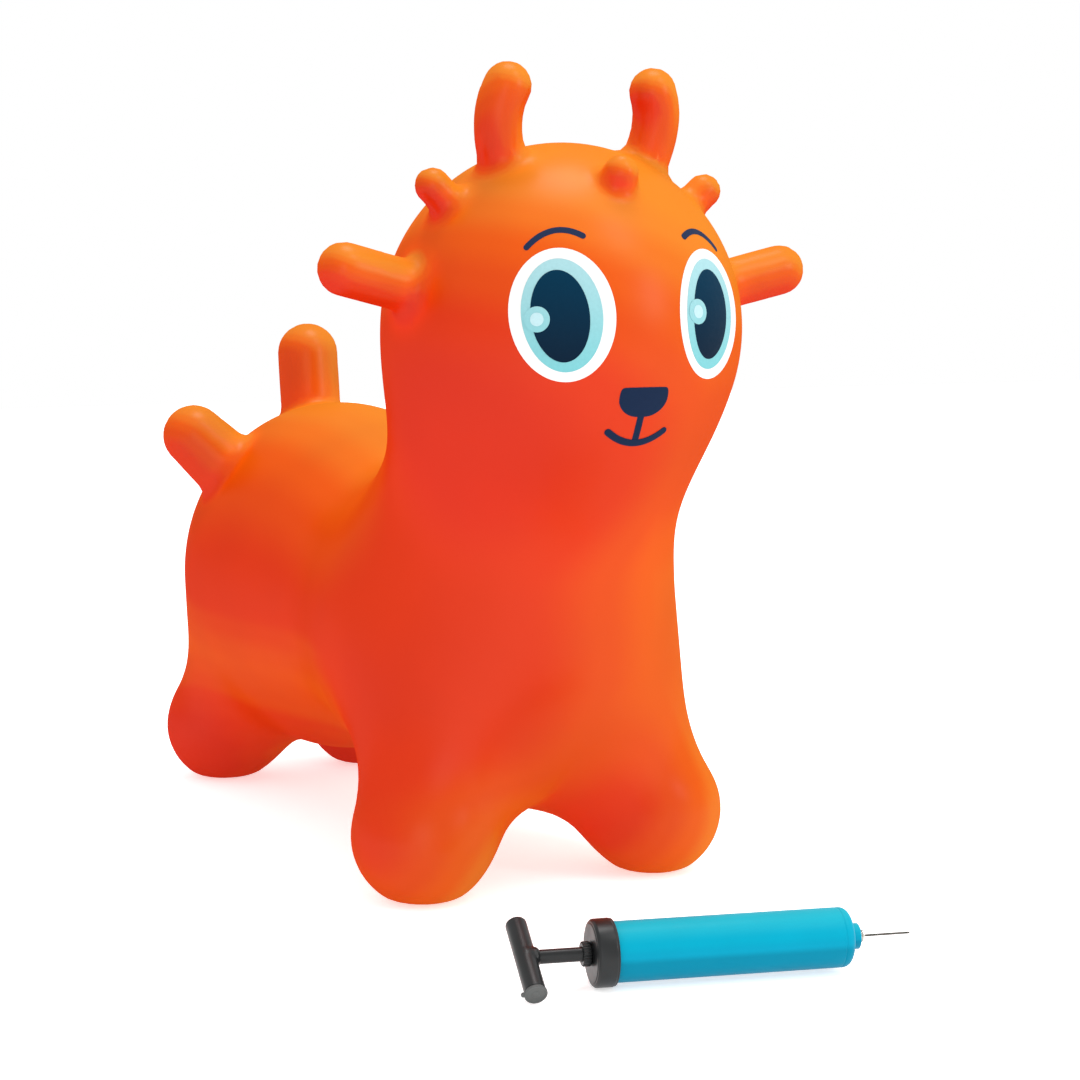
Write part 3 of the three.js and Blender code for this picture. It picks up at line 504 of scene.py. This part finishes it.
# The animal's skin
points, faces = netted(skin_field, SKIN_LOW, SKIN_HIGH, SKIN_STEP)
moulded = piece("moulded_skin", points, faces, SKIN, "hopper", ["skin"])

# How far off the body a growth has its full painted light, and how far out from a point the skin is felt for
STAND_FULL = 12
NOOK_REACHES = 12.0, 25.0, 50.0, 90.0


def nook(p):
    """How far the skin hems in its own points, from not at all to fully."""
    way = slope(skin_field, p)
    way /= np.linalg.norm(way, axis=-1)[:, None]
    shut = sum((reach - skin_field(p + way * reach)) / reach for reach in NOOK_REACHES)
    return np.clip(shut / len(NOOK_REACHES), 0, 1)


# stand carries painted light onto the growths; nook carries painted light and painted shade into the hollows.
stand = np.clip(body_field(points) / STAND_FULL, 0, 1)
for name, values in (("stand", stand), ("nook", nook(points))):
    moulded.data.attributes.new(name, "FLOAT", "POINT").data.foreach_set("value", values)


# Printed face: how far each layer stands off the skin, and how deep a film's rim goes into it
LIFTS = [0.15, 0.35, 0.55, 0.75, 0.95]
SKIRT = -0.4
STROKE_CROWN = 0.05
CAP_STEPS = 10
EYE_AROUND, EYE_UP, EYE_LEAN, EYE_INWARD = 28.4, 5.7, -7.5, -1.0
BROW_WIDTH, LINE_WIDTH = 3.8, 4.8
MUZZLE_UP = -26


def place(around, up):
    """A spot on the head: the ways out of it, to the right and up."""
    out = direction(around, up)
    a = math.radians(around)
    right = vec(math.cos(a), math.sin(a), 0)
    return out, right, np.cross(out, right)


def printed(spot, flat, lift):
    """Flat print positions carried onto the head, standing off it by lift."""
    out, right, above = spot
    flat = np.asarray(flat, float)
    start = HEAD[0] + flat[..., :1] * right + flat[..., 1:] * above
    p = on_skin(start, out)
    way = slope(body_field, p)
    return p + way / np.linalg.norm(way, axis=-1)[..., None] * np.asarray(lift)[..., None]


def patch(spot, outline, layer, rings):
    """Film inside an outline, with a skirt down into the skin."""
    outline = np.asarray(outline, float)
    middle = outline.mean(0)
    count = len(outline)
    shares = np.append(np.linspace(1 / rings, 1, rings), 1.0)
    flat = [middle + (outline - middle) * s for s in shares]
    lifts = [np.full(count, LIFTS[layer])] * rings + [np.full(count, SKIRT)]
    rows = printed(spot, np.array(flat), np.array(lifts))
    centre = printed(spot, middle[None], np.array([LIFTS[layer]]))
    points = np.concatenate([rows.reshape(-1, 3), centre])
    faces = []
    for r in range(len(flat)):
        for i in range(count):
            n = (i + 1) % count
            if r == 0:
                faces.append((len(points) - 1, i, n))
            else:
                a, b = (r - 1) * count, r * count
                faces.append((a + i, b + i, b + n, a + n))
    return points, faces


def stroke(spot, line, width, layer):
    """Brush stroke of even width with round ends."""
    line = np.asarray(line, float)
    way = np.gradient(line, axis=0)
    way /= np.linalg.norm(way, axis=1)[:, None]
    side = np.stack([-way[:, 1], way[:, 0]], 1) * width / 2

    def end(at, start_angle):
        turn = np.linspace(start_angle, start_angle + math.pi, CAP_STEPS + 2)[1:-1]
        return at + width / 2 * np.stack([np.cos(turn), np.sin(turn)], 1)
    first = math.atan2(side[0][1], side[0][0])
    last = math.atan2(-side[-1][1], -side[-1][0])
    outline = np.concatenate([line - side, end(line[-1], last), (line + side)[::-1], end(line[0], first)])
    count = len(outline)
    lifts = np.stack([np.full(count, LIFTS[layer]), np.full(count, SKIRT)])
    rim = printed(spot, np.stack([outline, outline]), lifts)
    core = printed(spot, line, np.full(len(line), LIFTS[layer] + STROKE_CROWN))
    points = np.concatenate([rim.reshape(-1, 3), core])
    n, base = len(line), 2 * count
    faces = [(i, count + i, count + (i + 1) % count, (i + 1) % count) for i in range(count)]
    for i in range(n - 1):
        faces.append((base + i, i, i + 1, base + i + 1))
        j = n + CAP_STEPS + (n - 1 - i)
        faces.append((base + i, base + i + 1, j - 1, j))
    for i in range(CAP_STEPS + 1):
        faces.append((base + n - 1, n - 1 + i, n + i))
        j = 2 * n + CAP_STEPS + i - 1
        faces.append((base, j, (j + 1) % count))
    return points, faces


def ellipse(across, rise, half_width, half_height, lean, sides=72):
    """Outline of an ellipse, turned about the print's middle by lean degrees."""
    t = np.arange(sides) * 2 * math.pi / sides
    x, y = across + half_width * np.cos(t), rise + half_height * np.sin(t)
    c, s = math.cos(math.radians(lean)), math.sin(math.radians(lean))
    return np.stack([x * c - y * s, x * s + y * c], 1)


def curve(*knots, steps=24):
    """Smooth line through three knots."""
    a, b, c = (np.array(k, float) for k in knots)
    u, v = np.linalg.norm(b - a), np.linalg.norm(c - b)
    m = u / (u + v)
    t = np.linspace(0, 1, steps)[:, None]
    return a * (t - m) * (t - 1) / m + b * t * (t - 1) / (m * (m - 1)) + c * t * (t - m) / (1 - m)


def outward(points, faces):
    """Faces turned so that a film looks away from the head's middle."""
    p = np.asarray(points)
    facing = 0.0
    for f in faces:
        a, b, c = (p[f[i]] for i in range(3))
        facing += np.dot(np.cross(b - a, c - a), a - HEAD[0])
    if facing < 0:
        return points, [tuple(reversed(f)) for f in faces]
    return points, faces


def film(name, made, look):
    """Printed film that takes the place of the node it is named after."""
    points, faces = outward(*made)
    return piece(name, points, faces, look, "hopper", [name.replace("print_", "")], sharp=40)


def rounded_loop(knots, steps=6):
    """Closed smooth outline through knots."""
    k = np.array(knots, float)
    p, q, r, s = np.roll(k, 1, 0), k, np.roll(k, -1, 0), np.roll(k, -2, 0)
    out = []
    for i in range(len(k)):
        for t in np.arange(steps) / steps:
            out.append(0.5 * (2 * q[i] + (r[i] - p[i]) * t + (2 * p[i] - 5 * q[i] + 4 * r[i] - s[i]) * t * t
                              + (3 * q[i] - p[i] - 3 * r[i] + s[i]) * t ** 3))
    return np.array(out)


# Layers of an eye from the skin outwards: across, rise, half width, half height, rings, ink and slot
EYE_LAYERS = {
    "white": (0, 0, 33.4, 41.8, 10, WHITE, "white_ink"),
    "iris": (-1.2, -0.4, 25.4, 35.4, 10, IRIS, "iris_ink"),
    "pupil": (-2.4, -0.9, 18.3, 28.7, 10, PUPIL, "pupil_ink"),
    "glint": (-17, -1.2, 8, 8, 4, IRIS, "iris_ink"),
    "dot": (-17, -1.2, 4.2, 4.2, 3, DOT, "dot_ink"),
}
for hand, side in (("L", 1), ("R", -1)):
    spot = place(side * EYE_AROUND, EYE_UP)
    for layer, (name, row) in enumerate(EYE_LAYERS.items()):
        across, rise, half_width, half_height, rings, look, slot = row
        if layer > 0:
            across += EYE_INWARD * side
        outline = ellipse(across, rise, half_width, half_height, EYE_LEAN * side)
        film(f"print_eye_{name}_{hand}", patch(spot, outline, layer, rings), look)
    brow = curve((side * 22.3, 42.1), (side * 2, 53.3), (-side * 12.8, 49.6))
    film(f"print_brow_{hand}", stroke(spot, brow, BROW_WIDTH, layer=0), BROW)

NOSE = [
    (-11.6, 17.6), (0, 17.9), (11.6, 17.6), (16.4, 16.6), (17.6, 12.0), (16.9, 6.6), (13.4, 1.8), (7.6, -1.4),
    (0, -2.2), (-7.6, -1.4), (-13.4, 1.8), (-16.9, 6.6), (-17.6, 12.0), (-16.4, 16.6),
]
LIP = np.stack([np.zeros(12), np.linspace(0, -20.4, 12)], 1)
MOUTH = curve((-20.3, -13.4), (0, -20.9), (20.3, -13.4))
spot = place(0, MUZZLE_UP)
film("print_nose", patch(spot, rounded_loop(NOSE), layer=0, rings=5), DARK)
film("print_lip_line", stroke(spot, LIP, LINE_WIDTH, layer=0), DARK)
film("print_mouth", stroke(spot, MOUTH, LINE_WIDTH, layer=1), DARK)


# Turned shapes
def lathe(profile, sides=64, closed=False):
    """Points and faces of a profile of (radius, along) turned about X."""
    turns = np.arange(sides) * 2 * math.pi / sides
    points, rows = [], []
    for radius, along in profile:
        if radius < 1e-6:
            rows.append([len(points)] * sides)
            points.append((along, 0, 0))
        else:
            rows.append(list(range(len(points), len(points) + sides)))
            points.extend((along, radius * math.cos(t), radius * math.sin(t)) for t in turns)
    faces = []
    pairs = list(zip(rows, rows[1:])) + ([(rows[-1], rows[0])] if closed else [])
    for low, high in pairs:
        for i in range(sides):
            n = (i + 1) % sides
            ring = [low[i], high[i], high[n], low[n]]
            ring = [v for j, v in enumerate(ring) if v != ring[j - 1]]
            if len(ring) > 2:
                faces.append(ring)
    return np.array(points, float), faces


def eased(profile, radius, steps=3, closed=False):
    """The profile with each of its corners rounded off."""
    p = [np.array(q, float) for q in profile]
    out = []
    for i, here in enumerate(p):
        if not closed and i in (0, len(p) - 1):
            out.append(tuple(here))
            continue
        back, on = p[i - 1] - here, p[(i + 1) % len(p)] - here
        cut = min(radius, 0.45 * np.linalg.norm(back), 0.45 * np.linalg.norm(on))
        a = here + back / np.linalg.norm(back) * cut
        b = here + on / np.linalg.norm(on) * cut
        for t in np.linspace(0, 1, steps + 1):
            out.append(tuple((1 - t) ** 2 * a + 2 * t * (1 - t) * here + t * t * b))
    return out


# Air valve under the belly, from its needle hole to its raised lip: radius, and depth into the skin
VALVE = [
    (0, -0.5), (0.9, -0.5), (0.9, -1.2), (7.6, -1.2), (8.2, -0.5), (9.4, -0.5), (10, -1.8), (13, -1.8),
    (14.5, 2.5),
]
seat = on_skin(vec(0, 0, (CHEST[0][2] + RUMP[0][2]) / 2), vec(0, 0, -1))
below = slope(body_field, seat[None])[0]
below /= np.linalg.norm(below)
across = vec(1, 0, 0)
points, faces = lathe(eased(VALVE, 0.35))
seated = seat + points[:, 1:2] * across + points[:, 2:] * np.cross(across, below) - points[:, :1] * below
piece("valve_plug", seated, faces, RUBBER, "hopper", ["valve_core"], sharp=40)


# Hand pump: axis along its own X, from the cap's outer face towards the needle
TURN = math.radians(15)
AXIS = vec(math.cos(TURN), -math.sin(TURN), 0)
ASIDE = vec(math.sin(TURN), math.cos(TURN), 0)
UP = vec(0, 0, 1)
CAP_RADIUS, CAP_DEPTH, BARREL_LENGTH = 20.5, 13.4, 148
END = CAP_DEPTH + BARREL_LENGTH
NOZZLE = END + 6.4
ORIGIN = vec(-5.1, -469.1, CAP_RADIUS) - AXIS * (CAP_DEPTH + BARREL_LENGTH / 2)
# Crossbar, turned about the pump's axis until its plug all but touches the floor
GAP = 0.3
BAR_X = -39.5
BAR_END = 29.5
PLUG_SEAT = BAR_END + GAP
PLUG_FACE = PLUG_SEAT + 1.6
PLUG_RADIUS = 6.9
BAR_TURN = (math.asin((CAP_RADIUS - GAP) / math.hypot(PLUG_FACE, PLUG_RADIUS))
            - math.atan2(PLUG_RADIUS, PLUG_FACE))
BAR_WAY = vec(0, -math.cos(BAR_TURN), -math.sin(BAR_TURN))
BAR_SIDE = vec(0, -math.sin(BAR_TURN), math.cos(BAR_TURN))


def from_pump(points):
    """Along the pump, then aside, then up."""
    p = np.asarray(points, float)
    return ORIGIN + p[:, :1] * AXIS + p[:, 1:2] * ASIDE + p[:, 2:] * UP


def from_bar(points):
    """Along the crossbar, then towards the barrel, then across both."""
    p = np.asarray(points, float)
    inward = vec(1, 0, 0)
    return from_pump(vec(BAR_X, 0, 0) + p[:, :1] * BAR_WAY + p[:, 1:2] * inward + p[:, 2:] * BAR_SIDE)


def pump_piece(name, profile, look, body, nodes, sides, closed=True, ease=0.4):
    """Turned part about the pump's axis."""
    points, faces = lathe(eased(profile, ease, closed=closed), sides, closed)
    return piece(name, from_pump(points), faces, look, body, nodes, sharp=50)


def quarter(radius, along, size, start, stop, steps=8):
    """Arc of a profile between two angles in degrees."""
    turns = np.radians(np.linspace(start, stop, steps))
    return [(radius + size * math.cos(t), along + size * math.sin(t)) for t in turns]


pump_piece("barrel", [
    (16.4, 3.3), (16.4, END - 3), (1.5, END - 3), (1.5, END + 1.1), (2.9, END + 1.1), (2.9, NOZZLE),
    (7.9, NOZZLE), (7.9, END), (13.0, END), *quarter(13.2, END - 5, 5, 90, 0),
    (18.2, END - 6), (17.95, END - 6.4), (17.95, END - 6.8), (18.2, END - 7.2), (18.2, 3.3),
], BARREL, "pump", ["pump_barrel"], sides=96)
pump_piece("cap", [
    (6.3, 0), (17.6, 0), (18.2, 0.5), (19.1, 0.5), (20.4, 1.9), (CAP_RADIUS, 11.6), (20.2, 12.2), (20.2, 13.1),
    (20.0, CAP_DEPTH), (18.5, CAP_DEPTH), (18.5, 3), (6.3, 3),
], BLACK, "pump", ["barrel_cap"], sides=96)
pump_piece("plunger_shaft", [
    (0, BAR_X), (4.3, BAR_X), (4.3, 118.8), (16.1, 118.8), (16.1, 121.8), (12.1, 121.8), (12.1, 127.8),
    (16.1, 127.8), (16.1, 130.8), (0, 130.8),
], BLACK, "plunger", ["plunger_rod"], sides=48, closed=False)


def rod_bush():
    """Bush with fine ribs round its rim."""
    ribs, steps_per_rib = 24, 8
    rim_from, rib_depth = 6.6, 0.45
    points, faces = lathe(eased([
        (4.6, -5.5), (6.9, -5.5), (7.5, -4.9), (7.5, -0.9), (6.9, -0.35), (6, -0.35), (6, 2.7), (4.6, 2.7),
    ], 0.25, closed=True), ribs * steps_per_rib, True)
    radius = np.hypot(points[:, 1], points[:, 2])
    angle = np.arctan2(points[:, 2], points[:, 1])
    dip = np.where(radius > rim_from, rib_depth * (0.5 - 0.5 * np.cos(ribs * angle)) ** 2, 0)
    points[:, 1:] *= ((radius - dip) / radius)[:, None]
    return piece("rod_bush", from_pump(points), faces, BLACK, "pump", ["rod_guide"], sharp=50)


rod_bush()


def edged(away, edge):
    """Distance to a body with rounded edges, from its two distances."""
    return np.minimum(away.max(-1), 0) + np.linalg.norm(np.maximum(away, 0), axis=-1) - edge


def bar_field(p):
    """Bored crossbar with a low collar for the rod; first axis along the bar, second towards the barrel."""
    bar_core, bar_edge = 5.7, 0.8
    collar_middle, collar_half, collar_edge = 3.8, 3.9, 0.4
    bore_radius, bore_floor = 4.7, 2
    along, reach = p[..., 0], p[..., 1]
    across = np.hypot(reach, p[..., 2])
    bar = edged(np.stack([across - bar_core, np.abs(along) - (BAR_END - bar_edge)], -1), bar_edge)
    collar_radius = 6.0 - 1.1 * np.clip((reach - 6.5) / 1.6, 0, 1)
    away = np.hypot(along, p[..., 2]) - collar_radius + collar_edge
    collar = edged(np.stack([away, np.abs(reach - collar_middle) - collar_half], -1), collar_edge)
    bore = np.maximum(across - bore_radius, bore_floor - BAR_END - along)
    return -blend(-blend(bar, collar, 1.6), bore, 0.6)


BAR_STEP = 0.75
points, faces = netted(bar_field, vec(-BAR_END, -6.6, -6.6), vec(BAR_END, 8.4, 6.6), BAR_STEP)
piece("crossbar", from_bar(points), faces, BLACK, "plunger", ["handle_bar"], sharp=60)


def end_plug():
    """Push-in plug with a raised rim, a dished face and a pull tab."""
    points, faces = lathe(eased([
        (0, PLUG_SEAT - 7), (4.4, PLUG_SEAT - 7), (4.4, PLUG_SEAT), (PLUG_RADIUS, PLUG_SEAT),
        (PLUG_RADIUS, PLUG_FACE), (5.9, PLUG_FACE), (5.5, PLUG_FACE - 0.45), (2.4, PLUG_FACE - 0.45),
        (2.2, PLUG_FACE - 0.2), (0, PLUG_FACE - 0.2),
    ], 0.3))
    inset, tip = 0.25, PLUG_RADIUS + 2
    outline = [(-5.5, 1.8), (-tip + 1, 1.5), (-tip + 0.3, 0.9), (-tip, 0), (-tip + 0.3, -0.9), (-tip + 1, -1.5),
               (-5.5, -1.8)]
    first = len(points)
    count = len(outline)
    tab = [(x, y, z) for x in (PLUG_SEAT + inset, PLUG_FACE - inset) for y, z in outline]
    points = np.concatenate([points, np.array(tab)])
    faces.append([first + i for i in range(count)])
    faces.append([first + count + i for i in reversed(range(count))])
    for i in range(count):
        n = (i + 1) % count
        faces.append([first + n, first + i, first + count + i, first + count + n])
    return piece("end_plug", from_bar(points), faces, PLUG, "plug", ["handle_plug"], sharp=40)


end_plug()
pump_piece("hub", [
    (0.4, NOZZLE - 5), (2.6, NOZZLE - 5), (2.6, NOZZLE + 0.3), (3.75, NOZZLE + 0.3), (3.75, NOZZLE + 1.3),
    (2.7, NOZZLE + 1.5), (2.7, NOZZLE + 2.2), (3.75, NOZZLE + 2.4), (3.75, NOZZLE + 3.5), (2.2, NOZZLE + 4.3),
    (1.0, NOZZLE + 4.3), (1.0, NOZZLE + 1.3), (0.4, NOZZLE + 1.3),
], STEEL, "needle", ["needle_hub"], sides=48, ease=0.2)
pump_piece("needle", [
    (0.35, NOZZLE + 1.6), (0.7, NOZZLE + 1.6), (0.7, NOZZLE + 33), (0.5, NOZZLE + 33.8), (0.35, NOZZLE + 33.8),
], NEEDLE, "needle", ["needle_tube"], sides=24, ease=0.1)

# The ring in the barrel stays the CAD node
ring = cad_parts["piston_ring"]
ring.data.materials.clear()
ring.data.materials.append(RUBBER)


# Floor, light and camera
def floor():
    """Pale paper just under the soles, with a little light of its own."""
    half, level = 6, -0.0006
    corners = [(-half, -half, level), (half, -half, level), (half, half, level), (-half, half, level)]
    mesh = bpy.data.meshes.new("floor")
    mesh.from_pydata(corners, [], [(0, 1, 2, 3)])
    look = Look("floor_paper")
    paper = look.ramp(look.noise(3, 2), (0.3, linear(250, 250, 250)), (0.7, linear(253, 253, 253)))
    look.feed("Base Color", paper)
    look.feed("Roughness", 0.9).feed("Specular IOR Level", 0.1)
    look.feed("Emission Color", (1, 1, 1, 1)).feed("Emission Strength", 0.55)
    mesh.materials.append(look.material)
    made = bpy.data.objects.new("floor", mesh)
    bpy.context.scene.collection.objects.link(made)


floor()

world = bpy.data.worlds.new("studio")
bpy.context.scene.world = world
world.use_nodes = True
backdrop = world.node_tree.nodes["Background"]
backdrop.inputs["Color"].default_value = (1, 1, 1, 1)
backdrop.inputs["Strength"].default_value = 1.0


def area(name, at, aim, wide, tall, power):
    """Soft oval lamp."""
    data = bpy.data.lights.new(name, "AREA")
    data.shape = "ELLIPSE"
    data.size, data.size_y = wide, tall
    data.energy = power
    lamp = bpy.data.objects.new(name, data)
    lamp.location = at
    lamp.rotation_euler = (Vector(aim) - Vector(at)).to_track_quat("-Z", "Y").to_euler()
    bpy.context.scene.collection.objects.link(lamp)


FACE = (0, -0.14, 0.4)
area("key", at=(0.3, 0.1, 2.5), aim=(0, -0.05, 0.3), wide=1.0, tall=1.0, power=26)
area("middle", at=(0.68, -1.35, 2.14), aim=FACE, wide=0.5, tall=0.9, power=8)
area("front", at=(1.15, -1.9, 1.0), aim=FACE, wide=0.42, tall=0.9, power=9)
area("fill", at=(-1.0, -2.0, 0.5), aim=(0, 0, 0.15), wide=1.2, tall=1.2, power=6)

CAMERA_AT, CAMERA_AIM, LENS = (-761.1, -1640.7, 418.5), (89.5, -47.8, 219.2), 78.96
view = bpy.data.cameras.new("photo_view")
view.sensor_width = 36
view.lens = LENS
camera = bpy.data.objects.new("photo_view", view)
camera.location = Vector(CAMERA_AT) * MM + SHIFT
target = Vector(CAMERA_AIM) * MM + SHIFT
camera.rotation_euler = (target - camera.location).to_track_quat("-Z", "Y").to_euler()
bpy.context.scene.collection.objects.link(camera)
bpy.context.scene.camera = camera
bpy.context.scene.view_settings.view_transform = "Standard"
